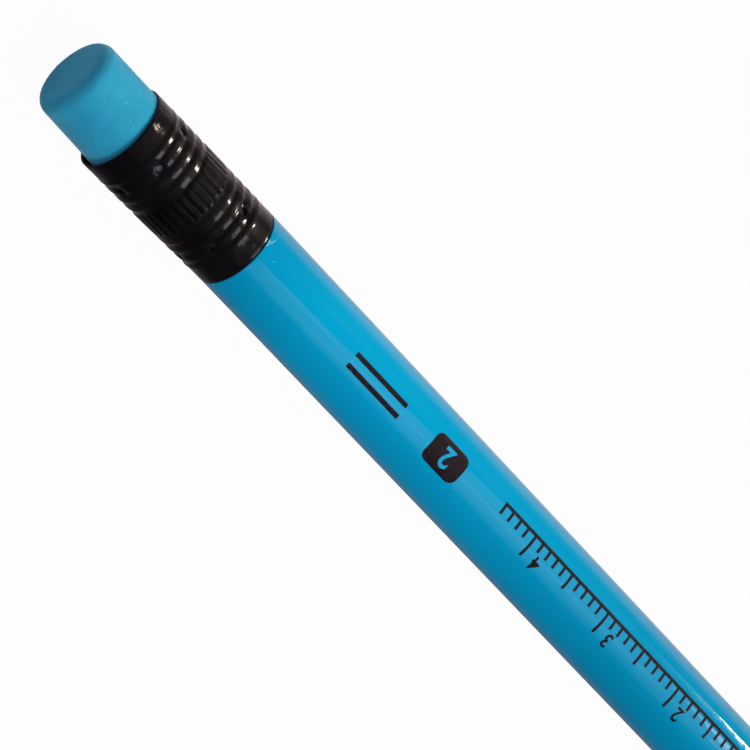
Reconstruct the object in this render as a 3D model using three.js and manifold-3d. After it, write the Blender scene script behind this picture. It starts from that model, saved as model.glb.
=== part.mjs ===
// A round wood-cased graphite pencil with a crimped sheet-metal ferrule and a rubber eraser plug.
// Millimetres, +Z up. The pencil lies on the XY plane along X, its eraser towards +X.
import * as THREE from "three";
import { mergeVertices } from "three/addons/utils/BufferGeometryUtils.js";
import Module from "manifold-3d";

const wasm = await Module();
wasm.setup();

// Barrel: two grooved wooden halves glued round the core, under a skin of lacquer.
const barrelDiameter = 7.3;
const barrelLength = 170.4; // writing point to the shoulder that the ferrule meets
const lacquerThickness = 0.12;
const lacquerBond = 0.01;
const glueLine = 0.03;

// Core and sharpened point.
const coreDiameter = 2.2;
const coreFit = 0.02; // radial, round the core in its groove
const pointHalfAngle = THREE.MathUtils.degToRad(11);
const pointRadius = 0.28; // blunted end of the point

// Ferrule: a thin sleeve, flush with the barrel at one end and opened out round the eraser at the other.
const ferruleLength = 13.6;
const ferruleWall = 0.16;
const ferruleLean = THREE.MathUtils.degToRad(1); // crimped on slightly askew
const seatClearance = 0.03; // axial, at the shoulder
const tenonShare = 0.48; // share of the sleeve's length that grips the turned-down end of the wood
const tenonClearance = 0.03; // radial, under the deepest groove
const plugGap = 0.4; // left between the wood and the rubber inside the sleeve
const rimRound = 0.05; // broken edge at both ends of the sleeve

// Rolled grooves, three each side of the fluted band, leaving raised ribs between them.
const ribsCentre = 6.75; // middle of the rolled pattern, from the barrel's end of the sleeve
const groovesPerSide = 3;
const firstGrooveOffset = 2.42; // from the middle of the pattern
const groovePitch = 1.02;
const grooveWidth = 0.86;
const grooveDepth = 0.09;
const landDepth = 0.035; // the plain ends lie this far below the ribs
const landBlend = 0.34;

// Fluted band at the middle of the pattern.
const bandLength = 2.6;
const bandDepth = 0.07;
const bandBlend = 0.6;
const fluteCount = 32;
const fluteLength = 2.35;
const fluteWidth = 0.3;
const fluteDepth = 0.06;

// Prick holes that key the sleeve to the wood and to the rubber, one row each side of the middle.
const pricksPerRow = 6;
const prickOffset = 3.86;
const prickMouth = 0.66;
const prickThroat = 0.36;
const barrelRowTurn = THREE.MathUtils.degToRad(20);

// Eraser plug.
const eraserDiameter = 6.9; // at the ferrule's mouth
const eraserTipDiameter = 6.8;
const eraserExposed = 6;
const eraserEdgeRadius = 1.2;
const eraserShift = 0.08; // the plug stands to one side in the mouth
const eraserClearance = 0.03;
const eraserCollar = 0.7; // full diameter carried this far into the mouth

const facets = 48;

// Derived sizes.
const barrelRadius = barrelDiameter / 2;
const lacquerInner = barrelRadius - lacquerThickness;
const woodRadius = lacquerInner - lacquerBond;
const coreRadius = coreDiameter / 2;
const grooveRadius = coreRadius + coreFit;
const leanSlope = Math.tan(ferruleLean);
const eraserRadius = eraserDiameter / 2;
const eraserTipRadius = eraserTipDiameter / 2;
const mouthPlay = eraserClearance + Math.abs(leanSlope * ferruleLength - eraserShift);
const mouthRadius = eraserRadius + mouthPlay + ferruleWall;
const seatGap = seatClearance + barrelRadius * Math.sin(ferruleLean);
const outerRib = firstGrooveOffset + (groovesPerSide - 0.5) * groovePitch;
const tenonLength = tenonShare * ferruleLength;
const eraserSeated = ferruleLength + seatGap - tenonLength - plugGap;
const overallLength = barrelLength + seatGap + ferruleLength + eraserExposed;
const widestRadius = Math.max(mouthRadius, barrelRadius, sleeveRadius(ribsCentre + outerRib));
const restHeight = widestRadius * Math.cos(Math.PI / facets);

const lacquerBlue = new THREE.Color(0x0a8fc4);
const rubberBlue = new THREE.Color(0x2f93bd);
const enamelBlack = new THREE.Color(0x1c1b1e);
const paleWood = new THREE.Color(0xd9b98a);
const graphiteGrey = new THREE.Color(0x3b3c40);

// A body of revolution about the pencil's axis, from [radius, station] pairs, with a facet facing down.
function turned(profile) {
  const points = profile.map(([radius, station]) => new THREE.Vector2(radius, station));
  return new THREE.LatheGeometry(points, facets, Math.PI / facets);
}

// A ring of wall, whose outline comes back to its first point.
function turnedRing(profile) {
  return turned([...profile, profile[0]]);
}

function solidOf(geometry) {
  const bare = geometry.clone();
  bare.deleteAttribute("normal");
  bare.deleteAttribute("uv");
  const merged = mergeVertices(bare, 1e-4);
  return new wasm.Manifold(
    new wasm.Mesh({
      numProp: 3,
      vertProperties: new Float32Array(merged.attributes.position.array),
      triVerts: new Uint32Array(merged.index.array),
    }),
  );
}

function geometryOf(solid) {
  const mesh = solid.getMesh();
  return new THREE.BufferGeometry()
    .setAttribute("position", new THREE.BufferAttribute(mesh.vertProperties, 3))
    .setIndex(new THREE.BufferAttribute(mesh.triVerts, 1));
}

function arc(centreRadius, centreStation, size, from, to, steps) {
  return Array.from({ length: steps + 1 }, (_, i) => {
    const angle = from + ((to - from) * i) / steps;
    return [centreRadius + size * Math.cos(angle), centreStation + size * Math.sin(angle)];
  });
}

// The sharpened cone touches the blunted point, and wood, core and lacquer all end on it.
function coneStation(radius) {
  const touchRadius = pointRadius * Math.cos(pointHalfAngle);
  const touchStation = pointRadius * (1 - Math.sin(pointHalfAngle));
  return touchStation + (radius - touchRadius) / Math.tan(pointHalfAngle);
}

function coreRod() {
  const end = barrelLength + tenonLength;
  return turned(
    [
      ...arc(0, pointRadius, pointRadius, -Math.PI / 2, -pointHalfAngle, 5),
      [coreRadius, coneStation(coreRadius)],
      [coreRadius, end],
      [0, end],
    ],
  );
}

// One half of the case: side is 1 above the glue line and -1 below it.
function caseHalf(side) {
  const end = barrelLength + tenonLength;
  const whole = solidOf(
    turnedRing(
      [
        [grooveRadius, coneStation(grooveRadius)],
        [woodRadius, coneStation(woodRadius)],
        [woodRadius, barrelLength],
        [tenonRadius(), barrelLength],
        [tenonRadius(), end],
        [grooveRadius, end],
      ],
    ),
  );
  const reach = 2 * barrelDiameter;
  const half = new THREE.BoxGeometry(reach, 2 * end, reach);
  half.translate(0, end / 2, side * (reach / 2 + glueLine / 2));
  return geometryOf(whole.intersect(solidOf(half)));
}

function lacquerSkin() {
  return turnedRing(
    [
      [lacquerInner, coneStation(lacquerInner)],
      [barrelRadius, coneStation(barrelRadius)],
      [barrelRadius, barrelLength],
      [lacquerInner, barrelLength],
    ],
  );
}

function grooveCentres() {
  const offsets = Array.from({ length: groovesPerSide }, (_, i) => firstGrooveOffset + i * groovePitch);
  return [...offsets.map((o) => ribsCentre - o).reverse(), ...offsets.map((o) => ribsCentre + o)];
}

// Outside radius over the tops of the ribs: it opens out evenly from the barrel to the mouth.
function ribRadius(station) {
  return barrelRadius + landDepth + ((mouthRadius - barrelRadius) * station) / ferruleLength;
}

// Rounded step from 0 to 1 over a length, after a start.
function roundedStep(distance, start, length) {
  const share = THREE.MathUtils.clamp((distance - start) / length, 0, 1);
  return (1 - Math.cos(Math.PI * share)) / 2;
}

// Depth that the rollers pressed the sleeve in below the tops of the ribs at a station.
function rolledDepth(station) {
  const fromMiddle = Math.abs(station - ribsCentre);
  const band = bandDepth * (1 - roundedStep(fromMiddle, bandLength / 2, bandBlend));
  const land = landDepth * roundedStep(fromMiddle, outerRib, landBlend);
  const grooves = grooveCentres().map((centre) => {
    const across = Math.abs(station - centre) / (grooveWidth / 2);
    return across < 1 ? (grooveDepth * (1 + Math.cos(Math.PI * across))) / 2 : 0;
  });
  return Math.max(band, land, ...grooves);
}

function evenly(start, length, steps) {
  return Array.from({ length: steps + 1 }, (_, i) => start + (length * i) / steps);
}

// Stations where the outline turns, with each groove rounded by the given number of steps.
function sleeveStations(grooveSteps) {
  const grooves = grooveCentres().flatMap((c) => evenly(c - grooveWidth / 2, grooveWidth, grooveSteps));
  const blendSteps = grooveSteps / 2;
  const oneSide = [
    ...evenly(bandLength / 2, bandBlend, blendSteps),
    ...evenly(outerRib, landBlend, blendSteps),
  ];
  const blends = oneSide.flatMap((o) => [ribsCentre - o, ribsCentre + o]);
  return [...grooves, ...blends].sort((a, b) => a - b);
}

function sleeveRadius(station) {
  return ribRadius(station) - rolledDepth(station);
}

// Narrowest bore between two stations, less what the lean takes from a plug that stands shift to the side.
function clearBore(from, to, shift) {
  const inside = [from, ...sleeveStations(2), to].filter((s) => s >= from && s <= to);
  return Math.min(...inside.map((s) => sleeveRadius(s) - ferruleWall - Math.abs(leanSlope * s - shift)));
}

function tenonRadius() {
  return clearBore(0, tenonLength, 0) - tenonClearance;
}

function sleeveBlank() {
  const outside = sleeveStations(6).map((s) => [sleeveRadius(s), s]);
  const inside = sleeveStations(2).map((s) => [sleeveRadius(s) - ferruleWall, s]);
  const mouth = ferruleLength;
  return turnedRing(
    [
      [barrelRadius - rimRound, 0],
      [barrelRadius, rimRound],
      ...outside,
      [mouthRadius, mouth - rimRound],
      [mouthRadius - rimRound, mouth],
      [mouthRadius - ferruleWall, mouth],
      ...inside.reverse(),
      [barrelRadius - ferruleWall, 0],
    ],
  );
}

// Round-nosed tool that presses one flute, lying along the sleeve at the top.
function fluteTool() {
  const noseRadius = (fluteWidth * fluteWidth) / (8 * fluteDepth) + fluteDepth / 2;
  const tool = new THREE.CylinderGeometry(noseRadius, noseRadius, fluteLength, 16);
  tool.translate(0, ribsCentre, sleeveRadius(ribsCentre) - fluteDepth + noseRadius);
  return tool;
}

// Tapered punch for one prick hole, at the given station at the top of the sleeve.
function prickTool(station) {
  const taper = (prickMouth - prickThroat) / (2 * ferruleWall);
  const below = 0.1;
  const above = 0.4;
  const length = ferruleWall + above + below;
  const narrow = Math.max(prickThroat / 2 - taper * below, 0.05);
  const tool = new THREE.CylinderGeometry(prickMouth / 2 + taper * above, narrow, length, 14);
  tool.rotateX(Math.PI / 2);
  tool.translate(0, station, sleeveRadius(station) + above - length / 2);
  return tool;
}

function around(tool, count, firstTurn) {
  return Array.from({ length: count }, (_, i) =>
    tool.clone().rotateY(firstTurn + (i * 2 * Math.PI) / count),
  );
}

function ferruleSleeve() {
  const tools = [
    ...around(fluteTool(), fluteCount, 0),
    ...around(prickTool(ribsCentre + prickOffset), pricksPerRow, 0),
    ...around(prickTool(ribsCentre - prickOffset), pricksPerRow, barrelRowTurn),
  ];
  const cut = tools.reduce((sleeve, tool) => sleeve.subtract(solidOf(tool)), solidOf(sleeveBlank()));
  return geometryOf(cut);
}

// The plug: a seat squeezed by the grooves, a collar in the mouth, and the rounded end that rubs.
function eraserPlug() {
  const mouth = ferruleLength;
  const inner = mouth - eraserSeated;
  const collar = mouth - eraserCollar;
  const seatRadius = clearBore(inner, collar, eraserShift) - eraserClearance;
  const end = mouth + eraserExposed;
  return turned(
    [
      [0, inner],
      [seatRadius - eraserCollar / 2, inner],
      [seatRadius, inner + eraserCollar / 2],
      [seatRadius, collar - eraserCollar / 2],
      [eraserRadius, collar],
      [eraserRadius, mouth],
      ...arc(eraserTipRadius - eraserEdgeRadius, end - eraserEdgeRadius, eraserEdgeRadius, 0, Math.PI / 2, 7),
      [0, end],
    ],
  );
}

function piece(name, geometry, color, roughness, metalness) {
  const mesh = new THREE.Mesh(geometry, new THREE.MeshStandardMaterial({ color, roughness, metalness }));
  mesh.name = name;
  return mesh;
}

const pencil = new THREE.Group();
pencil.add(piece("case_half_upper", caseHalf(1), paleWood, 0.7, 0));
pencil.add(piece("case_half_lower", caseHalf(-1), paleWood, 0.7, 0));
pencil.add(piece("graphite_core", coreRod(), graphiteGrey, 0.45, 0.3));
pencil.add(piece("lacquer_coat", lacquerSkin(), lacquerBlue, 0.15, 0));

const ferruleEnd = new THREE.Group();
ferruleEnd.position.y = barrelLength + seatGap;

const ferrule = piece("ferrule", ferruleSleeve(), enamelBlack, 0.25, 0.6);
ferrule.rotation.z = ferruleLean;
ferruleEnd.add(ferrule);

const eraser = piece("eraser", eraserPlug(), rubberBlue, 0.9, 0);
eraser.position.x = -eraserShift;
ferruleEnd.add(eraser);
pencil.add(ferruleEnd);

// Laid along X on the surface below, centred on its length.
pencil.rotation.z = -Math.PI / 2;
pencil.position.set(-overallLength / 2, 0, restHeight);

const part = new THREE.Group();
part.add(pencil);
export default part;
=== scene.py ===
import math
import random

import bmesh
import bpy
from mathutils import Matrix, Vector, noise


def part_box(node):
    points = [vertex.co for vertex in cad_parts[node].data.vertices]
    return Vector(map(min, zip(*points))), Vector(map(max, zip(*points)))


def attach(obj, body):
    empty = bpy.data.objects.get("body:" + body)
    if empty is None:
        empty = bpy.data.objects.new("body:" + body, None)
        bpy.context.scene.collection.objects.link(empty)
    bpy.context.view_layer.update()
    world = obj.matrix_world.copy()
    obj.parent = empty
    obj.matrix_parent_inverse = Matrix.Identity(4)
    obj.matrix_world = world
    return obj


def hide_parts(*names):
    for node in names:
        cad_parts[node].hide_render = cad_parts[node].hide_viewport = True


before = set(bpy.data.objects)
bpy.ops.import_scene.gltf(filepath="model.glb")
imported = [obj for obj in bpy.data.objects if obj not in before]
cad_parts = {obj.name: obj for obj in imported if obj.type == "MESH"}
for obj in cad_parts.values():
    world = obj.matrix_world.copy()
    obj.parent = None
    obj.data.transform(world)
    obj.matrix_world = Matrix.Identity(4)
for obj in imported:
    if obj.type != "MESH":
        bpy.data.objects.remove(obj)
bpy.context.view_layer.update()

# Sizes in metres, the main ones the same as the solids'. Stations run along the pencil's axis, from its
# writing point or, on the ferrule and the eraser, from the ferrule's end on the barrel.
MM = 0.001
FACET_FIT = math.cos(math.pi / 48)  # a true circle inside the solids' facets
BARREL_RADIUS = 3.65 * MM * FACET_FIT
BARREL_LENGTH = 170.4 * MM
BARREL_STEPS = 192  # steps round the axis, as are the other pieces' own
LACQUER_THICKNESS = 0.12 * MM
LACQUER_EDGE = 0.06 * MM
COAT_CLEARANCE = 0.01 * MM
CASE_STEPS = 96  # of a half round
CORE_RADIUS = 1.1 * MM
CORE_CLEARANCE = 0.02 * MM
CORE_STEPS = 96
POINT_RADIUS = 0.28 * MM
POINT_HALF_ANGLE = math.radians(11)
TENON_LENGTH = 6.528 * MM
TENON_RADIUS = 3.28 * MM
GLUE_LINE = 0.03 * MM

FERRULE_LENGTH = 13.6 * MM
FERRULE_WALL = 0.16 * MM
FERRULE_LEAN = math.radians(1.0)
FERRULE_STEPS = 360
SEAT_GAP = 0.0937 * MM
MOUTH_RADIUS = 3.7954 * MM * FACET_FIT
RIBS_CENTRE = 6.75 * MM  # middle of the rolled pattern
GROOVE_OFFSETS = [2.42 * MM, 3.44 * MM, 4.46 * MM]  # from the middle of the pattern, both ways
GROOVE_WIDTH = 0.8 * MM
GROOVE_DEPTH = 0.058 * MM
OUTER_RIB = 4.92 * MM
LAND_DEPTH = 0.035 * MM  # the plain ends lie this far below the ribs
LAND_BLEND = 0.36 * MM
BELL_DEPTH = 0.02 * MM  # the end on the barrel opens out a little
BELL_LENGTH = 1.6 * MM
BAND_DEPTHS = [0.022 * MM, 0.078 * MM]  # how far the fluted band is pressed in, on its two sides
BAND_SHOULDERS = [(4.85 * MM, 0.5 * MM), (8.02 * MM, 0.66 * MM)]  # each a start and a length
RIDGE_COUNT = 34  # raised bars on the band, level with the ribs
RIDGE_HALF_LENGTH = 1.2 * MM
RIDGE_END = 0.24 * MM
RIDGE_STRAIGHT = 0.9 * MM  # half the length along which a bar has one section
RIDGE_GAP = 0.42 * MM
GAP_DEPTH = 0.07 * MM
PRICK_OFFSET = 3.86 * MM
PRICKS_PER_ROW = 6
PRICK_DENT = 1.05 * MM  # radius of the shallow dent round a hole, then of its dished middle
PRICK_DISH = 0.62 * MM
PRICK_HOLE = 0.3 * MM
PRICK_ZONE = 0.66 * MM  # half the width of the strip with the closest stations
PRICK_STEP = 0.07 * MM  # from one station to the next, there, on the rolled pattern and elsewhere
ROLLED_STEP = 0.09 * MM
PLAIN_STEP = 0.3 * MM
DENT_DEPTH = 0.068 * MM
PRICK_DEPTH = 0.13 * MM
BARREL_ROW_TURN = math.radians(20)
SHEET_RIPPLE = 0.014 * MM  # unevenness of the thin sheet
RIPPLE_LENGTH = 0.55 * MM
GROOVE_WAVER = 0.25  # the grooves are this much deeper or shallower in places
WAVER_LENGTH = 0.7 * MM
LIP_WEAR = 0.05 * MM  # how far the enamel is rubbed from the sleeve's lips and from the holes
HOLE_WEAR = 0.06 * MM
LIP_EASE = 0.03 * MM
SCRAPE_TURN = math.radians(-33)  # a scraped spot on the plain band at the mouth
SCRAPE_STATION = 12.9 * MM
SCRAPE_REACH = (0.62 * MM, 0.85 * MM)  # round the sleeve and along it

ERASER_RADIUS = 3.49 * MM * FACET_FIT
ERASER_TIP_RADIUS = 3.445 * MM * FACET_FIT
ERASER_EXPOSED = 6.0 * MM
ERASER_SEATED = 6.76 * MM
ERASER_SEAT_RADIUS = 3.38 * MM
ERASER_COLLAR = 0.7 * MM
ERASER_COLLAR_TAPER = 0.3 * MM
ERASER_STEPS = 160
ERASER_EDGE_RADIUS = 0.96 * MM
ERASER_SHIFT = 0.1 * MM
ERASER_TILT = -0.015  # sideways drift of the rubber per length past the mouth
ERASER_CUT = 0.02  # the end is cut this much off square
CRUMB_COUNT = 110

# Where the pencil lies: its point is at the low end of X, and its axis is half the coat's height up.
coat_low, coat_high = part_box("lacquer_coat")
POINT_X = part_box("graphite_core")[0].x
AXIS_HEIGHT = (coat_low.z + coat_high.z) / 2
SHOULDER_X = POINT_X + BARREL_LENGTH
FERRULE_X = SHOULDER_X + SEAT_GAP

# The print: places along are from the shoulder, and less than 0 towards the point.
PRINT_TURN = math.radians(-9)  # its middle line, a little off the top of the barrel
INK_FILM = 0.006 * MM
WRAP_CUT = 0.12 * MM  # the marks are cut into strips this wide before they bend
WRAP_CUTS = 20
RULES_PLACE = -15.1 * MM
RULES_OFFSET = 0.55 * MM
RULES_SIZE = (6.4 * MM, 0.42 * MM)
DIGIT_PLACE = -24.0 * MM
DIGIT_BOX = (4.0 * MM, 2.7 * MM)
DIGIT_CORNER = 0.7 * MM
DIGIT_HEIGHT = 1.75 * MM
RULER_ZERO = -75 * MM
RULER_MARKS = 45  # one each millimetre
RULER_EDGE = -1.05 * MM
RULER_LINE = 0.3 * MM
MARK_WIDTH = 0.28 * MM
MARK_HEIGHTS = (2.1 * MM, 1.5 * MM, 0.95 * MM)  # at a centimetre, at its half and elsewhere
NUMERAL_HEIGHT = 1.3 * MM
NUMERAL_ACROSS = 0.7 * MM
NUMERAL_BACK = 1.6 * MM  # a numeral stands this far before its mark


# Finishes: node helpers first, then one function for each finish.
def new_finish(name, roughness=0.5, metallic=0.0):
    material = bpy.data.materials.new(name)
    material.use_nodes = True
    shader = material.node_tree.nodes["Principled BSDF"]
    shader.inputs["Roughness"].default_value = roughness
    shader.inputs["Metallic"].default_value = metallic
    return material, material.node_tree, shader


def add(tree, kind, inputs=None, **settings):
    """One node: settings are its properties, inputs its sockets, each a value or the socket that feeds it."""
    made = tree.nodes.new(kind)
    for key, value in settings.items():
        setattr(made, key, value)
    for key, value in (inputs or {}).items():
        if isinstance(value, bpy.types.NodeSocket):
            tree.links.new(value, made.inputs[key])
        else:
            made.inputs[key].default_value = value
    return made


def object_space(tree, scale):
    """Object coordinates in millimetres, stretched by scale."""
    coordinates = add(tree, "ShaderNodeTexCoord").outputs["Object"]
    stretch = [1000 * s for s in scale]
    return add(tree, "ShaderNodeMapping", {"Vector": coordinates, "Scale": stretch}).outputs["Vector"]


def along_axis(tree):
    """Distance along the pencil's axis, in metres."""
    coordinates = add(tree, "ShaderNodeTexCoord").outputs["Object"]
    return add(tree, "ShaderNodeSeparateXYZ", {0: coordinates}).outputs["X"]


def cloud(tree, scale, detail=2.0, rough=0.5):
    """Soft noise, with its scale per millimetre along X, Y and Z."""
    inputs = {"Vector": object_space(tree, scale), "Scale": 1.0, "Detail": detail, "Roughness": rough}
    return add(tree, "ShaderNodeTexNoise", inputs).outputs[0]


def between(tree, value, low, high, to_low=0.0, to_high=1.0):
    """The value carried from one range to another and held inside it."""
    limits = {"Value": value, "From Min": low, "From Max": high, "To Min": to_low, "To Max": to_high}
    return add(tree, "ShaderNodeMapRange", limits).outputs["Result"]


def reckon(tree, operation, first, second):
    return add(tree, "ShaderNodeMath", {0: first, 1: second}, operation=operation).outputs[0]


def blend(tree, share, first, second):
    return add(tree, "ShaderNodeMix", {0: share, 6: first, 7: second}, data_type="RGBA").outputs[2]


def specks(tree, per_mm, size, share):
    """Small round spots in a share of the cells of a scattered pattern."""
    cells = add(tree, "ShaderNodeTexVoronoi", {"Vector": object_space(tree, (per_mm,) * 3), "Scale": 1.0})
    near = between(tree, cells.outputs["Distance"], size, size * 0.55)
    lot = add(tree, "ShaderNodeSeparateColor", {"Color": cells.outputs["Color"]}).outputs["Red"]
    return reckon(tree, "MULTIPLY", near, between(tree, lot, 1 - share, 1.01 - share))


def relief(tree, height, depth, under=None):
    """A fine height on the surface, over another one where there is one under it."""
    inputs = {"Height": height, "Distance": depth, "Strength": 1.0}
    if under:
        inputs["Normal"] = under
    return add(tree, "ShaderNodeBump", inputs).outputs["Normal"]


def feed(tree, shader, **sockets):
    """Links each value to the shader's socket of that name, with _ for a space."""
    for name, value in sockets.items():
        tree.links.new(value, shader.inputs[name.replace("_", " ")])


def blue_lacquer():
    material, tree, shader = new_finish("blue_lacquer")
    shader.inputs["IOR"].default_value = 1.6
    patches = between(tree, cloud(tree, (0.05, 0.16, 0.16), 3), 0.3, 0.7)
    colour = blend(tree, patches, (0.0006, 0.329, 0.575, 1), (0.001, 0.358, 0.611, 1))
    streaks = cloud(tree, (0.12, 3.0, 3.0), 2)
    colour = blend(tree, between(tree, streaks, 0.62, 0.8, 0, 0.25), colour, (0.004, 0.38, 0.64, 1))
    # Painted shade: the lacquer darkens towards the point, where less light falls.
    painted_shade_to_point = between(tree, along_axis(tree), SHOULDER_X - 20 * MM, SHOULDER_X - 54 * MM, 0, 0.5)
    colour = blend(tree, painted_shade_to_point, colour, (0.0006, 0.185, 0.33, 1))
    # Darker over the last 8 mm before the shoulder.
    shoulder_darkening = between(tree, along_axis(tree), SHOULDER_X - 8 * MM, SHOULDER_X, 0, 0.32)
    colour = blend(tree, shoulder_darkening, colour, (0.0006, 0.2, 0.36, 1))
    dust = specks(tree, 0.9, 0.07, 0.22)
    colour = blend(tree, reckon(tree, "MULTIPLY", dust, 0.4), colour, (0.2, 0.52, 0.68, 1))
    smudges = between(tree, cloud(tree, (0.2, 0.35, 0.35), 4, 0.6), 0.35, 0.75, 0.04, 0.065)
    gloss = reckon(tree, "ADD", smudges, reckon(tree, "MULTIPLY", dust, 0.3))
    peel = relief(tree, cloud(tree, (0.7, 0.9, 0.9), 1), 0.006 * MM)
    grit = relief(tree, dust, 0.004 * MM, peel)
    feed(tree, shader, Base_Color=colour, Roughness=gloss, Normal=grit)
    return material


def black_enamel():
    material, tree, shader = new_finish("black_enamel")
    shader.inputs["IOR"].default_value = 1.19
    shader.inputs["Coat Roughness"].default_value = 0.09
    shader.inputs["Coat IOR"].default_value = 1.32
    rubbed = add(tree, "ShaderNodeAttribute", attribute_name="rubbed").outputs["Fac"]
    patches = between(tree, cloud(tree, (0.5, 0.5, 0.5), 4), 0.3, 0.7)
    colour = blend(tree, patches, (0.0036, 0.0029, 0.0035, 1), (0.0068, 0.0055, 0.0063, 1))
    # Painted shade: the gaps between the bars are darkened, and lose their clear coat below.
    painted_gap_shade = add(tree, "ShaderNodeAttribute", attribute_name="painted_gap_shade").outputs["Fac"]
    colour = blend(tree, painted_gap_shade, colour, (0.0014, 0.0012, 0.0013, 1))
    dust = specks(tree, 2.6, 0.1, 0.25)
    colour = blend(tree, reckon(tree, "MULTIPLY", dust, 0.3), colour, (0.12, 0.1, 0.09, 1))
    nibbles = cloud(tree, (2.2, 2.2, 2.2), 5, 0.65)
    bare = between(tree, reckon(tree, "ADD", reckon(tree, "MULTIPLY", rubbed, 0.5), nibbles), 0.94, 1.04)
    colour = blend(tree, bare, colour, (0.24, 0.17, 0.125, 1))
    scraped = add(tree, "ShaderNodeAttribute", attribute_name="scraped").outputs["Fac"]
    flecks = between(tree, reckon(tree, "MULTIPLY", cloud(tree, (7, 7, 7), 4, 0.7), scraped), 0.48, 0.54)
    colour = blend(tree, flecks, colour, (0.66, 0.58, 0.5, 1))
    bare = reckon(tree, "MAXIMUM", bare, flecks)
    smudges = between(tree, cloud(tree, (0.6, 0.6, 0.6), 4, 0.6), 0.35, 0.75, 0.32, 0.44)
    scuffs = between(tree, cloud(tree, (5, 5, 5), 3, 0.6), 0.5, 0.58)
    scuffs = reckon(tree, "MULTIPLY", reckon(tree, "MULTIPLY", rubbed, scuffs), 0.4)
    gloss = reckon(tree, "ADD", smudges, scuffs)
    peel = relief(tree, cloud(tree, (1.6, 1.6, 1.6), 2), 0.006 * MM)
    grit = relief(tree, reckon(tree, "ADD", dust, bare), 0.003 * MM, peel)
    nicks = relief(tree, reckon(tree, "MULTIPLY", cloud(tree, (4, 4, 4), 3, 0.6), scraped), 0.045 * MM, grit)
    feed(tree, shader, Base_Color=colour, Roughness=gloss, Normal=nicks, Coat_Normal=nicks)
    metal = reckon(tree, "MULTIPLY", bare, 0.8)
    # Less clear coat where handling rubbed the enamel, and in the gaps as painted shade, which takes out
    # their reflections.
    clear = between(tree, reckon(tree, "MAXIMUM", painted_gap_shade, rubbed), 0, 0.8, 1, 0.1)
    feed(tree, shader, Metallic=metal, Coat_Weight=clear)
    return material


def blue_rubber():
    material, tree, shader = new_finish("blue_rubber")
    shader.inputs["Specular IOR Level"].default_value = 0.3
    shader.inputs["Sheen Weight"].default_value = 0.2
    shader.inputs["Sheen Roughness"].default_value = 0.4
    patches = cloud(tree, (0.45, 0.45, 0.45), 4, 0.6)
    colour = blend(tree, between(tree, patches, 0.3, 0.7), (0.013, 0.302, 0.478, 1), (0.019, 0.348, 0.54, 1))
    bloom = between(tree, cloud(tree, (5, 5, 5), 3), 0.5, 0.75, 0, 0.3)
    colour = blend(tree, bloom, colour, (0.035, 0.38, 0.6, 1))
    filler = between(tree, cloud(tree, (4, 4, 4), 4, 0.75), 0.62, 0.7)
    crumbs = specks(tree, 2.4, 0.17, 0.4)
    filler_share = reckon(tree, "MULTIPLY", filler, 0.07)
    crumb_share = reckon(tree, "MULTIPLY", crumbs, 0.2)
    colour = blend(tree, reckon(tree, "MAXIMUM", filler_share, crumb_share), colour, (0.36, 0.6, 0.7, 1))
    mouth = FERRULE_X + FERRULE_LENGTH
    # Painted shade: the rubber inside the sleeve, seen through the prick holes, is darkened.
    painted_shade_in_sleeve = between(tree, along_axis(tree), mouth - 1.0 * MM, mouth - 1.2 * MM)
    colour = blend(tree, painted_shade_in_sleeve, colour, (0.07, 0.13, 0.18, 1))
    gloss = between(tree, cloud(tree, (1.2, 1.2, 1.2), 3), 0.3, 0.7, 0.62, 0.82)
    grain = relief(tree, cloud(tree, (9, 9, 9), 3, 0.6), 0.012 * MM)
    grit = relief(tree, reckon(tree, "MAXIMUM", filler, crumbs), 0.012 * MM, grain)
    feed(tree, shader, Base_Color=colour, Roughness=gloss, Normal=grit)
    return material


def case_wood():
    material, tree, shader = new_finish("case_wood")
    grain = cloud(tree, (0.16, 2.6, 1.4), 4, 0.6)
    rings = cloud(tree, (0.05, 0.9, 0.35), 2)
    colour = blend(tree, between(tree, rings, 0.35, 0.65), (0.62, 0.40, 0.22, 1), (0.74, 0.53, 0.31, 1))
    colour = blend(tree, between(tree, grain, 0.52, 0.72, 0, 0.55), colour, (0.44, 0.25, 0.12, 1))
    pores = between(tree, cloud(tree, (0.5, 7, 7), 2), 0.64, 0.72)
    colour = blend(tree, reckon(tree, "MULTIPLY", pores, 0.5), colour, (0.3, 0.16, 0.08, 1))
    # Painted shade: the tenon inside the sleeve, seen through the prick holes, is darkened nearly to black.
    painted_shade_in_sleeve = between(tree, along_axis(tree), SHOULDER_X - 0.2 * MM, SHOULDER_X)
    colour = blend(tree, painted_shade_in_sleeve, colour, (0.02, 0.015, 0.013, 1))
    gloss = between(tree, grain, 0.3, 0.7, 0.55, 0.75)
    shaved = relief(tree, cloud(tree, (4.5, 0.25, 0.25), 3), 0.014 * MM)
    fibres = relief(tree, reckon(tree, "SUBTRACT", grain, pores), 0.012 * MM, shaved)
    feed(tree, shader, Base_Color=colour, Roughness=gloss, Normal=fibres)
    return material


def graphite():
    material, tree, shader = new_finish("graphite", metallic=0.35)
    tracks = cloud(tree, (7, 0.5, 0.5), 3, 0.6)
    colour = blend(tree, between(tree, tracks, 0.35, 0.7), (0.03, 0.03, 0.033, 1), (0.085, 0.085, 0.092, 1))
    gloss = between(tree, tracks, 0.3, 0.7, 0.3, 0.48)
    grain = relief(tree, cloud(tree, (12, 12, 12), 2), 0.004 * MM)
    scored = relief(tree, tracks, 0.01 * MM, grain)
    feed(tree, shader, Base_Color=colour, Roughness=gloss, Normal=scored)
    return material


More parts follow.
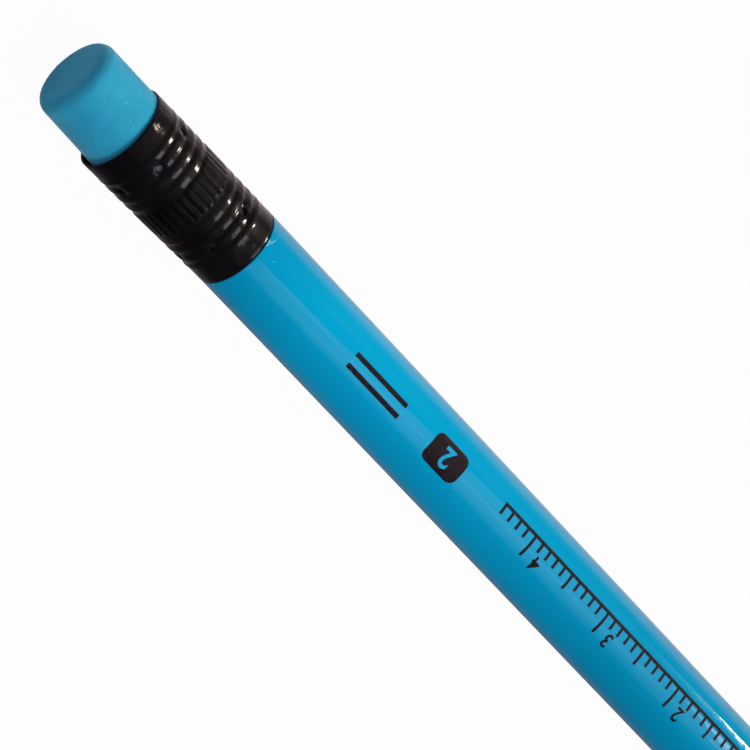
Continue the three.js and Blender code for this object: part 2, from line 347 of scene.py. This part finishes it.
def printing_ink(name, colour, thin):
    """Stamped ink, worn thin in fine specks where the lacquer shows through."""
    material, tree, shader = new_finish(name)
    shader.inputs["Specular IOR Level"].default_value = 0.2
    wear = between(tree, cloud(tree, (4, 4, 4), 4, 0.65), 0.6, 0.72, 0, 0.5)
    tint = blend(tree, wear, colour, thin)
    gloss = between(tree, cloud(tree, (2, 2, 2), 2), 0.3, 0.7, 0.3, 0.45)
    film = relief(tree, cloud(tree, (6, 6, 6), 2), 0.003 * MM)
    feed(tree, shader, Base_Color=tint, Roughness=gloss, Normal=film)
    return material


def rubber_dust():
    material, tree, shader = new_finish("rubber_dust")
    tone = cloud(tree, (2.5, 2.5, 2.5), 3, 0.6)
    colour = blend(tree, between(tree, tone, 0.35, 0.65), (0.03, 0.36, 0.54, 1), (0.26, 0.5, 0.62, 1))
    gloss = between(tree, tone, 0.3, 0.7, 0.7, 0.9)
    grain = relief(tree, cloud(tree, (20, 20, 20), 3), 0.01 * MM)
    feed(tree, shader, Base_Color=colour, Roughness=gloss, Normal=grain)
    return material


BLUE_LACQUER = blue_lacquer()
BLACK_ENAMEL = black_enamel()
BLUE_RUBBER = blue_rubber()
CASE_WOOD = case_wood()
GRAPHITE = graphite()
BLACK_INK = printing_ink("black_ink", (0.012, 0.006, 0.008, 1), (0.01, 0.12, 0.2, 1))
SCUFFED_LACQUER = printing_ink("scuffed_lacquer", (0.2, 0.5, 0.67, 1), (0.02, 0.38, 0.6, 1))
RUBBER_DUST = rubber_dust()
BLUE_INK = printing_ink("blue_ink", (0.001, 0.33, 0.585, 1), (0.004, 0.2, 0.36, 1))


# Pieces of the pencil.
def cone_station(radius):
    """Where the sharpened cone has this radius, from the writing point."""
    touch_radius = POINT_RADIUS * math.cos(POINT_HALF_ANGLE)
    touch_station = POINT_RADIUS * (1 - math.sin(POINT_HALF_ANGLE))
    return touch_station + (radius - touch_radius) / math.tan(POINT_HALF_ANGLE)


def arc(station, radius, size, start, end, steps):
    """Points of a rounded edge about a centre, from one angle to another, as (station, radius) pairs."""
    angles = [math.radians(start + (end - start) * i / steps) for i in range(steps + 1)]
    return [(station + size * math.sin(a), radius + size * math.cos(a)) for a in angles]


def turned(points, steps, closed=False):
    """A bmesh turned round the X axis from an outline of (station, radius) pairs."""
    bm = bmesh.new()
    verts = [bm.verts.new((s, 0, r)) for s, r in points]
    edges = [bm.edges.new(pair) for pair in zip(verts, verts[1:])]
    if closed:
        edges.append(bm.edges.new((verts[-1], verts[0])))
    bmesh.ops.spin(
        bm, geom=verts + edges, cent=(0, 0, 0), axis=(1, 0, 0), angle=2 * math.pi, steps=steps, use_merge=True
    )
    bmesh.ops.remove_doubles(bm, verts=bm.verts, dist=1e-8)
    bmesh.ops.recalc_face_normals(bm, faces=bm.faces)
    return bm


def face_outwards(bm, axis):
    """Turns the faces of an open sheet away from the axis at this (y, z)."""
    for face in bm.faces:
        face.normal_update()
        if face.normal.yz.dot(face.calc_center_median().yz - Vector(axis)) < 0:
            face.normal_flip()


def place(bm, x, y=0.0):
    """Moves a piece from the X axis to where the pencil lies."""
    bmesh.ops.translate(bm, verts=bm.verts, vec=(x, y, AXIS_HEIGHT))


def shown(name, bm, material, node=None, crease=35):
    """The finished piece: smooth between edges sharper than crease, riding with the pencil."""
    mesh = bpy.data.meshes.new(name)
    bm.to_mesh(mesh)
    bm.free()
    mesh.shade_smooth()
    mesh.set_sharp_from_angle(angle=math.radians(crease))
    mesh.materials.append(material)
    piece = bpy.data.objects.new(name, mesh)
    bpy.context.scene.collection.objects.link(piece)
    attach(piece, "root")
    if node:
        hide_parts(node)
    return piece


def lacquer_coat():
    inner = BARREL_RADIUS - LACQUER_THICKNESS
    edge = LACQUER_EDGE
    bm = turned(
        [
            (cone_station(inner), inner),
            (cone_station(BARREL_RADIUS - edge), BARREL_RADIUS - edge),
            *arc(cone_station(BARREL_RADIUS) + edge, BARREL_RADIUS - edge, edge, -60, 0, 4),
            (cone_station(BARREL_RADIUS) + 2 * edge, BARREL_RADIUS),
            (BARREL_LENGTH - 2 * edge, BARREL_RADIUS),
            *arc(BARREL_LENGTH - edge, BARREL_RADIUS - edge, edge, 0, 90, 5),
            (BARREL_LENGTH, inner),
        ],
        BARREL_STEPS,
        closed=True,
    )
    place(bm, POINT_X)
    return shown("lacquer_coat_skin", bm, BLUE_LACQUER, "lacquer_coat")


def case_half(name, node, side):
    inner = CORE_RADIUS + CORE_CLEARANCE
    outer = BARREL_RADIUS - LACQUER_THICKNESS - COAT_CLEARANCE
    end = BARREL_LENGTH + TENON_LENGTH
    points = [
        (cone_station(inner), inner),
        (cone_station(outer), outer),
        (BARREL_LENGTH, outer),
        (BARREL_LENGTH, TENON_RADIUS),
        (end, TENON_RADIUS),
        (end, inner),
    ]
    bm = bmesh.new()
    verts = [bm.verts.new((s, r, 0)) for s, r in points]
    face = bm.faces.new(verts)
    section = [face, *face.edges, *verts]
    bmesh.ops.spin(bm, geom=section, cent=(0, 0, 0), axis=(1, 0, 0), angle=side * math.pi, steps=CASE_STEPS)
    bmesh.ops.remove_doubles(bm, verts=bm.verts, dist=1e-8)
    bmesh.ops.recalc_face_normals(bm, faces=bm.faces)
    bmesh.ops.translate(bm, verts=bm.verts, vec=(0, 0, side * GLUE_LINE / 2))
    place(bm, POINT_X)
    return shown(name, bm, CASE_WOOD, node)


def graphite_core():
    end = BARREL_LENGTH + TENON_LENGTH
    bm = turned(
        [
            *arc(POINT_RADIUS, 0, POINT_RADIUS, -90, -math.degrees(POINT_HALF_ANGLE), 8),
            (cone_station(CORE_RADIUS), CORE_RADIUS),
            (end, CORE_RADIUS),
            (end, 0),
        ],
        CORE_STEPS,
    )
    place(bm, POINT_X)
    return shown("graphite_rod", bm, GRAPHITE, "graphite_core")


def rounded_step(distance, start, length):
    """From 0 to 1 over a length, with both corners rounded."""
    share = min(max((distance - start) / length, 0), 1)
    return (1 - math.cos(math.pi * share)) / 2


def hollow(distance, half_width):
    """Section of a rolled hollow: 1 at its middle, 0 at its edges."""
    return (1 + math.cos(math.pi * distance / half_width)) / 2 if abs(distance) < half_width else 0.0


def rolled_depth(station, waver=0.0):
    """How far the rollers pressed the sleeve in below the tops of its ribs."""
    from_middle = station - RIBS_CENTRE
    pressed = LAND_DEPTH * rounded_step(abs(from_middle), OUTER_RIB, LAND_BLEND)
    for offset in GROOVE_OFFSETS:
        groove = hollow(abs(from_middle) - offset, GROOVE_WIDTH / 2)
        pressed = max(pressed, GROOVE_DEPTH * (1 + waver) * groove)
    return pressed


def rib_radius(station):
    """The sleeve's radius at the tops of its ribs, before anything is pressed in."""
    belled = BELL_DEPTH * max(0, 1 - station / BELL_LENGTH) ** 2
    return BARREL_RADIUS + LAND_DEPTH + belled + (MOUTH_RADIUS - BARREL_RADIUS) * station / FERRULE_LENGTH


def bar_share(station, angle):
    """On the fluted band: how much of a bar's length stands here, and how much of the gap beside it."""
    pitch = 2 * math.pi / RIDGE_COUNT
    gap = math.floor(angle / pitch + 0.5)
    stray = noise.noise((1.7 * gap, 0.3, 0.7))
    across = (angle - pitch * (gap + 0.16 * stray)) * BARREL_RADIUS
    ends = (RIDGE_HALF_LENGTH * (1 + 0.14 * stray) - abs(station - RIBS_CENTRE)) / RIDGE_END
    bar = math.sin(min(max(ends, 0), 1) * math.pi / 2)
    return bar, (1 - 0.5 * stray) * hollow(across, RIDGE_GAP / 2 * (1 - 0.5 * stray)) * bar


def band_press(station, bar, gap):
    """How far the band in the middle is pressed in, between raised bars that are a little uneven."""
    (lower, lower_length), (upper, upper_length) = BAND_SHOULDERS
    band = rounded_step(station, lower, lower_length) - rounded_step(station, upper, upper_length)
    return BAND_DEPTHS[station > RIBS_CENTRE] * band * (1 - bar) + GAP_DEPTH * gap


def nearest_prick(co):
    """A point of the sleeve as (along, across) from the nearest prick hole, on the flattened sheet."""
    side = 1 if co.x > RIBS_CENTRE else -1
    turn = math.atan2(co.y, co.z) - (0.0 if side > 0 else BARREL_ROW_TURN)
    step = 2 * math.pi / PRICKS_PER_ROW
    return co.x - RIBS_CENTRE - side * PRICK_OFFSET, ((turn + step / 2) % step - step / 2) * BARREL_RADIUS


def sleeve_stations():
    """Stations along the sleeve, close together where it is rolled and closest at the prick holes."""
    stations = [0.0]
    while stations[-1] < FERRULE_LENGTH - 0.2 * MM:
        from_middle = abs(stations[-1] - RIBS_CENTRE)
        if abs(from_middle - PRICK_OFFSET) < PRICK_ZONE:
            step = PRICK_STEP
        elif RIDGE_STRAIGHT < from_middle < OUTER_RIB + LAND_BLEND:
            step = ROLLED_STEP
        else:
            step = PLAIN_STEP
        stations.append(stations[-1] + step)
    return [*stations, FERRULE_LENGTH]


def rubbed_share(station, reach):
    """How far handling has rubbed the enamel: at the lips, by the mouth, on the ribs and round the holes."""
    rib_top = 0.01 * MM  # what is pressed in by less than this is the top of a rib
    proud = max(0, 1 - rolled_depth(station) / rib_top)
    off_band = rounded_step(abs(station - RIBS_CENTRE), 1.6 * MM, 0.3 * MM)
    by_mouth = rounded_step(station, FERRULE_LENGTH - 1.6 * MM, 0.9 * MM)
    return max(
        0.5 * math.exp((station - FERRULE_LENGTH) / LIP_WEAR),
        0.28 * by_mouth,
        0.5 * math.exp(-station / LIP_WEAR),
        0.45 * proud * off_band,
        0.7 * math.exp(-max(reach - PRICK_HOLE, 0) / HOLE_WEAR),
    )


def ferrule_sleeve():
    bm = turned([(s, rib_radius(s)) for s in sleeve_stations()], FERRULE_STEPS)
    rubbed = bm.verts.layers.float.new("rubbed")
    scraped = bm.verts.layers.float.new("scraped")
    painted_gap_shade = bm.verts.layers.float.new("painted_gap_shade")
    pierced = [f for f in bm.faces if math.hypot(*nearest_prick(f.calc_center_median())) < PRICK_HOLE]
    for vert in bm.verts:
        station = vert.co.x
        radius = math.hypot(vert.co.y, vert.co.z)
        reach = math.hypot(*nearest_prick(vert.co))
        angle = math.atan2(vert.co.y, vert.co.z)
        around = (station / WAVER_LENGTH, 2.2 * math.sin(angle), 2.2 * math.cos(angle))
        bar, gap = bar_share(station, angle)
        pressed = band_press(station, bar, gap) + rolled_depth(station, GROOVE_WAVER * noise.noise(around))
        pressed += SHEET_RIPPLE * (1 + noise.noise(vert.co / RIPPLE_LENGTH))
        for radius_of, depth in ((PRICK_DENT, DENT_DEPTH), (PRICK_DISH, PRICK_DEPTH)):
            if reach < radius_of:
                pressed += depth * (1 - (reach / radius_of) ** 2) ** 2
        round_scrape = (angle - SCRAPE_TURN) * radius / SCRAPE_REACH[0]
        along_scrape = (station - SCRAPE_STATION) / SCRAPE_REACH[1]
        # The gaps between the bars are marked for painted shade in the enamel.
        vert[painted_gap_shade] = min(gap, 1)
        vert[rubbed] = rubbed_share(station, reach)
        vert[scraped] = max(0, 1 - math.hypot(round_scrape, along_scrape) ** 3)
        vert.co.yz = vert.co.yz * ((radius - pressed) / radius)
    bmesh.ops.delete(bm, geom=pierced, context="FACES")
    face_outwards(bm, (0, 0))
    bmesh.ops.rotate(bm, cent=(0, 0, 0), matrix=Matrix.Rotation(FERRULE_LEAN, 3, "Z"), verts=bm.verts)
    place(bm, FERRULE_X)
    piece = shown("ferrule_sleeve", bm, BLACK_ENAMEL, "ferrule", crease=60)
    wall = piece.modifiers.new("sheet_wall", "SOLIDIFY")
    wall.thickness = FERRULE_WALL
    wall.offset = -1
    lips = piece.modifiers.new("eased_edges", "BEVEL")
    lips.limit_method = "ANGLE"
    lips.angle_limit = math.radians(60)
    lips.width = LIP_EASE
    lips.segments = 2
    return piece


def eraser_crumbs(spots):
    """Flat crumbs of rubbed rubber that cling to the eraser at some of these vertices."""
    lot = random.Random(11)
    bm = bmesh.new()
    for spot in lot.sample(spots, CRUMB_COUNT):
        size = MM * (0.016 + 0.036 * lot.random() ** 3)
        upright = spot.normal.to_track_quat("Z", "X").to_matrix().to_4x4()
        spun = Matrix.Rotation(lot.uniform(0, math.pi), 4, "Z")
        shape = Matrix.Diagonal((lot.uniform(1, 2.6), 1, 0.5, 1))
        stand = Matrix.Translation(spot.co) @ upright @ spun @ shape
        made = bmesh.ops.create_icosphere(bm, subdivisions=2, radius=size, matrix=stand)
        for vert in made["verts"]:
            vert.co += (vert.co - spot.co) * 0.5 * noise.noise(vert.co / (0.05 * MM))
    return bm


def eraser_plug():
    mouth = FERRULE_LENGTH
    inner = mouth - ERASER_SEATED
    end = mouth + ERASER_EXPOSED
    edge = ERASER_EDGE_RADIUS
    collar = mouth - ERASER_COLLAR
    side = end - edge - mouth
    taper = ERASER_TIP_RADIUS - ERASER_RADIUS
    flat = ERASER_TIP_RADIUS - edge
    rings = 24
    end_rings = 10
    bm = turned(
        [
            (inner, 0),
            (inner, ERASER_SEAT_RADIUS),
            (collar - ERASER_COLLAR_TAPER, ERASER_SEAT_RADIUS),
            (collar, ERASER_RADIUS),
            *[(mouth + side * i / rings, ERASER_RADIUS + taper * i / rings) for i in range(rings)],
            *arc(end - edge, flat, edge, 0, 90, 14),
            *[(end, flat * (1 - i / end_rings)) for i in range(1, end_rings)],
            (end, 0),
        ],
        ERASER_STEPS,
    )
    for vert in bm.verts:
        past = max(vert.co.x - mouth, 0)
        spot = vert.co / MM
        lump = 0.018 * noise.noise(spot * 0.55) + 0.007 * noise.noise(spot * 1.9) - 0.02
        outward = Vector((0.6 if vert.co.x > end - edge else 0, *vert.co.yz.normalized()))
        vert.co += outward * min(past / (0.8 * MM), 1) * lump * MM
        vert.co.y += ERASER_TILT * past
        vert.co.x += ERASER_CUT * (vert.co.y - ERASER_RADIUS) * past / ERASER_EXPOSED
    place(bm, FERRULE_X, ERASER_SHIFT)
    bmesh.ops.recalc_face_normals(bm, faces=bm.faces)
    crumbs = eraser_crumbs([v for v in bm.verts if v.co.x > FERRULE_X + mouth + 0.25 * MM])
    shown("eraser_crumbs", crumbs, RUBBER_DUST)
    return shown("eraser_rubber", bm, BLUE_RUBBER, "eraser")


# Print on the barrel. Each mark is drawn flat, along and across the barrel, then wrapped round it.
def flat_bar(bm, along, across, length, width):
    """A bar with its middle at (along, across)."""
    corners = [(-1, -1), (1, -1), (1, 1), (-1, 1)]
    verts = [bm.verts.new((along + a * length / 2, across + b * width / 2, 0)) for a, b in corners]
    bm.faces.new(verts)
    return verts


def flat_numeral(bm, text, along, across, height):
    """A numeral with its middle at (along, across)."""
    letters = bpy.data.curves.new("numeral", "FONT")
    letters.body = text
    letters.resolution_u = 6
    letters.offset = 0.02
    writing = bpy.data.objects.new("numeral", letters)
    bpy.context.scene.collection.objects.link(writing)
    mesh = bpy.data.meshes.new_from_object(writing.evaluated_get(bpy.context.evaluated_depsgraph_get()))
    bpy.data.objects.remove(writing)
    low = [min(v.co[i] for v in mesh.vertices) for i in range(2)]
    high = [max(v.co[i] for v in mesh.vertices) for i in range(2)]
    size = height / (high[1] - low[1])
    middle = Vector(((low[0] + high[0]) / 2, (low[1] + high[1]) / 2, 0))
    set_down = Matrix.Translation((along, across, 0))
    mesh.transform(set_down @ Matrix.Scale(size, 4) @ Matrix.Translation(-middle))
    bm.from_mesh(mesh)
    bpy.data.meshes.remove(mesh)


def wrapped(name, bm, lift, material):
    """Marks whose along is the distance from the shoulder towards the eraser, wrapped on the lacquer."""
    for cut in range(-WRAP_CUTS, WRAP_CUTS + 1):
        geom = [*bm.verts, *bm.edges, *bm.faces]
        bmesh.ops.bisect_plane(bm, geom=geom, plane_co=(0, cut * WRAP_CUT, 0), plane_no=(0, 1, 0))
    radius = BARREL_RADIUS + lift
    for vert in bm.verts:
        turn = PRINT_TURN + vert.co.y / BARREL_RADIUS
        vert.co = (SHOULDER_X + vert.co.x, radius * math.sin(turn), AXIS_HEIGHT + radius * math.cos(turn))
    face_outwards(bm, (0, AXIS_HEIGHT))
    return shown(name, bm, material)


def lacquer_scuffs():
    """Pale slivers scuffed into the lacquer by the sleeve, each from one (along, across) to another."""
    slivers = [  # two ends and a width, in millimetres
        ((-0.66, -2.42), (-0.17, -1.4), 0.08),
        ((-0.22, -1.55), (0.0, -1.1), 0.1),
        ((-0.18, -1.85), (-0.02, -1.42), 0.12),
        ((-0.74, -2.8), (-0.64, -2.44), 0.05),
        ((-1.48, -0.82), (-1.26, -0.68), 0.07),
    ]
    bm = bmesh.new()
    for start, end, width in slivers:
        start, end = Vector(start) * MM, Vector(end) * MM
        middle, side = (start + end) / 2, (end - start).orthogonal().normalized() * width * MM / 2
        bm.faces.new([bm.verts.new((*point, 0)) for point in (start, middle - side, end, middle + side)])
    wrapped("lacquer_scuffs", bm, INK_FILM / 2, SCUFFED_LACQUER)


def print_marks():
    bm = bmesh.new()
    for across in (-RULES_OFFSET, RULES_OFFSET):
        flat_bar(bm, RULES_PLACE, across, *RULES_SIZE)
    box = flat_bar(bm, DIGIT_PLACE, 0, *DIGIT_BOX)
    bmesh.ops.bevel(
        bm, geom=box, offset=DIGIT_CORNER, affect="VERTICES", segments=6, profile=0.5, material=-1
    )
    ruler_length = (RULER_MARKS - 1) * MM
    flat_bar(bm, RULER_ZERO + ruler_length / 2, RULER_EDGE, ruler_length + RULER_LINE, RULER_LINE)
    for mark in range(RULER_MARKS):
        height = MARK_HEIGHTS[0 if mark % 10 == 0 else 1 if mark % 5 == 0 else 2]
        flat_bar(bm, RULER_ZERO + mark * MM, RULER_EDGE + height / 2, MARK_WIDTH, height)
    for centimetre in range(1, 5):
        along = RULER_ZERO + 10 * centimetre * MM - NUMERAL_BACK
        flat_numeral(bm, str(centimetre), along, NUMERAL_ACROSS, NUMERAL_HEIGHT)
    wrapped("print_marks", bm, INK_FILM, BLACK_INK)
    bm = bmesh.new()
    flat_numeral(bm, "2", DIGIT_PLACE, 0, DIGIT_HEIGHT)
    wrapped("print_grade", bm, 2 * INK_FILM, BLUE_INK)


lacquer_coat()
case_half("case_upper", "case_half_upper", 1)
case_half("case_lower", "case_half_lower", -1)
graphite_core()
sleeve = ferrule_sleeve()
eraser_plug()
print_marks()
lacquer_scuffs()


# Studio: a white floor, soft lamps, most of them on the point's side, and the camera above the eraser's end.
FLOOR_SIZE = 1.5
# In reflections the floor shows a painted pool of light along the pencil, bright on the lamps' side and dim
# on the other: each stop is a place across it and a level.
POOL_REACH = 0.04
POOL_STOPS = [(-0.03, 0.08), (-0.016, 0.47), (-0.001, 0.66), (0.002, 0.25), (0.012, 0.09), (0.02, 0.03)]


def studio_floor():
    bm = bmesh.new()
    bmesh.ops.create_grid(bm, x_segments=1, y_segments=1, size=FLOOR_SIZE)
    mesh = bpy.data.meshes.new("floor")
    bm.to_mesh(mesh)
    bm.free()
    floor = bpy.data.objects.new("floor", mesh)
    bpy.context.scene.collection.objects.link(floor)
    material, tree, shader = new_finish("pale_floor", roughness=0.9)
    shader.inputs["Base Color"].default_value = (0.5, 0.5, 0.5, 1)
    shader.inputs["Specular IOR Level"].default_value = 0.0
    rays = add(tree, "ShaderNodeLightPath").outputs
    across = add(tree, "ShaderNodeTexCoord").outputs["Object"]
    across = add(tree, "ShaderNodeSeparateXYZ", {0: across}).outputs["Y"]
    pool = add(tree, "ShaderNodeValToRGB", {"Fac": between(tree, across, -POOL_REACH, POOL_REACH)})
    stops = pool.color_ramp.elements
    for place_y, level in POOL_STOPS:
        stops.new(place_y / (2 * POOL_REACH) + 0.5).color = (level, 0.82 * level, 0.92 * level, 1)
    stops.remove(stops[-1])
    stops.remove(stops[0])
    # Camera rays see the floor an even white; reflections see the painted pool of light instead.
    mirrored = reckon(tree, "MAXIMUM", rays["Is Glossy Ray"], rays["Is Transmission Ray"])
    shade = blend(tree, mirrored, (1, 1, 1, 1), pool.outputs["Color"])
    white = add(tree, "ShaderNodeEmission", {"Color": shade, "Strength": 1.0})
    share = reckon(tree, "MAXIMUM", reckon(tree, "MULTIPLY", rays["Is Camera Ray"], 0.97), mirrored)
    mixed = add(tree, "ShaderNodeMixShader", {0: share, 1: shader.outputs[0], 2: white.outputs[0]})
    tree.links.new(mixed.outputs[0], tree.nodes["Material Output"].inputs["Surface"])
    mesh.materials.append(material)


def softbox(name, position, target, across, size, watts, colour, spread=math.pi):
    """A lamp that faces the target, the first side of its box running along across."""
    lamp = bpy.data.lights.new(name, "AREA")
    lamp.shape = "RECTANGLE"
    lamp.size, lamp.size_y = size
    lamp.energy = watts
    lamp.color = colour
    lamp.spread = spread
    box = bpy.data.objects.new(name, lamp)
    bpy.context.scene.collection.objects.link(box)
    back = (Vector(position) - Vector(target)).normalized()
    upright = back.cross(Vector(across)).normalized()
    turn = Matrix((upright.cross(back), upright, back)).transposed().to_4x4()
    box.matrix_world = Matrix.Translation(position) @ turn
    return box


def camera():
    """The viewpoint: which way is right and up in the picture, then the lens and the place."""
    right = Vector((-0.6000889, -0.7277345, 0.3321081))
    up = Vector((0.6367277, -0.6858590, -0.3523852))
    back = right.cross(up)
    data = bpy.data.cameras.new("camera")
    data.sensor_width = 36
    data.lens = 191.325
    data.clip_start = 0.01
    eye = bpy.data.objects.new("camera", data)
    bpy.context.scene.collection.objects.link(eye)
    turn = Matrix((right, up, back)).transposed().to_4x4()
    eye.matrix_world = Matrix.Translation((0.2086314, -0.0009844, 0.2739905)) @ turn
    bpy.context.scene.camera = eye


def studio_lamps():
    facing = (0.083, 0, 0.004)  # a point near the middle of the sleeve
    along = (1, 0, 0)
    near_height = 0.357
    near_tint = (1.0, 0.94, 1.0)
    near_spread = math.radians(87)
    wing = (-0.2766, -0.2585)
    wing_across = (-0.531, -0.847, 0)
    far_across = (0.046, -0.909, -0.415)
    far_tint = (0.97, 0.9, 1.02)
    key_place = (-1.193, -1.476, 0.442)
    key_across = (0.04, -0.37, -0.93)
    key_tint = (1.0, 0.9, 0.8)
    fill_size = (0.25, 0.25)

    for name, x, y, target_y, width, watts in (
        ("near_box", -0.175, 0.065, 0.1225, 0.12, 0.0205),
        ("near_edge", -0.105, 0.05, 0.1075, 0.02, 0.0021),
    ):
        place_above, target = (x, y, near_height), (x, target_y, 0)
        softbox(name, place_above, target, along, (width, 0.31), watts, near_tint, near_spread)
    softbox("near_wing", (*wing, near_height), (*wing, 0), wing_across, (0.465, 0.13), 0.064, near_tint)
    softbox("far_box", (-0.457, -0.231, 0.47), facing, far_across, (0.29, 0.145), 0.52, far_tint)
    softbox("key_box", key_place, facing, key_across, (0.37, 0.108), 7.2, key_tint)
    softbox("end_box", (0.5, 0.12, 0.42), (0.05, 0, 0.004), along, (0.5, 0.12), 0.27, (1.0, 0.96, 1.05))

    # These two boxes light the sleeve alone, as if cards kept them off the barrel and the eraser.
    carded = bpy.data.collections.new("lit_by_carded_boxes")
    carded.objects.link(sleeve)
    carded_boxes = [
        softbox("sleeve_box", (-0.353, -0.2715, 0.5702), facing, far_across, (0.29, 0.155), 0.24, far_tint),
        softbox("glint_box", key_place, facing, key_across, (0.34, 0.22), 9.0, key_tint),
    ]
    for box in carded_boxes:
        box.light_linking.receiver_collection = carded

    # The fills show in no reflection.
    fills = [
        softbox("top_fill", (-0.308, 0.07, 0.579), facing, along, fill_size, 2.2, (0.98, 0.97, 0.96)),
        softbox("side_fill", (-0.26, -0.555, 0.25), facing, along, fill_size, 2.45, (1.12, 0.95, 0.8)),
    ]
    for fill in fills:
        fill.visible_glossy = False


def studio_world():
    """Even light from all round, much dimmer in reflections."""
    world = bpy.data.worlds.new("studio")
    world.use_nodes = True
    tree = world.node_tree
    sky = tree.nodes["Background"]
    sky.inputs["Color"].default_value = (0.95, 0.95, 1.1, 1)
    mirrored = add(tree, "ShaderNodeLightPath").outputs["Is Glossy Ray"]
    tree.links.new(between(tree, mirrored, 0, 1, 0.32, 0.012), sky.inputs["Strength"])
    bpy.context.scene.world = world


studio_floor()
studio_lamps()
studio_world()
camera()
bpy.context.scene.view_settings.view_transform = "Standard"
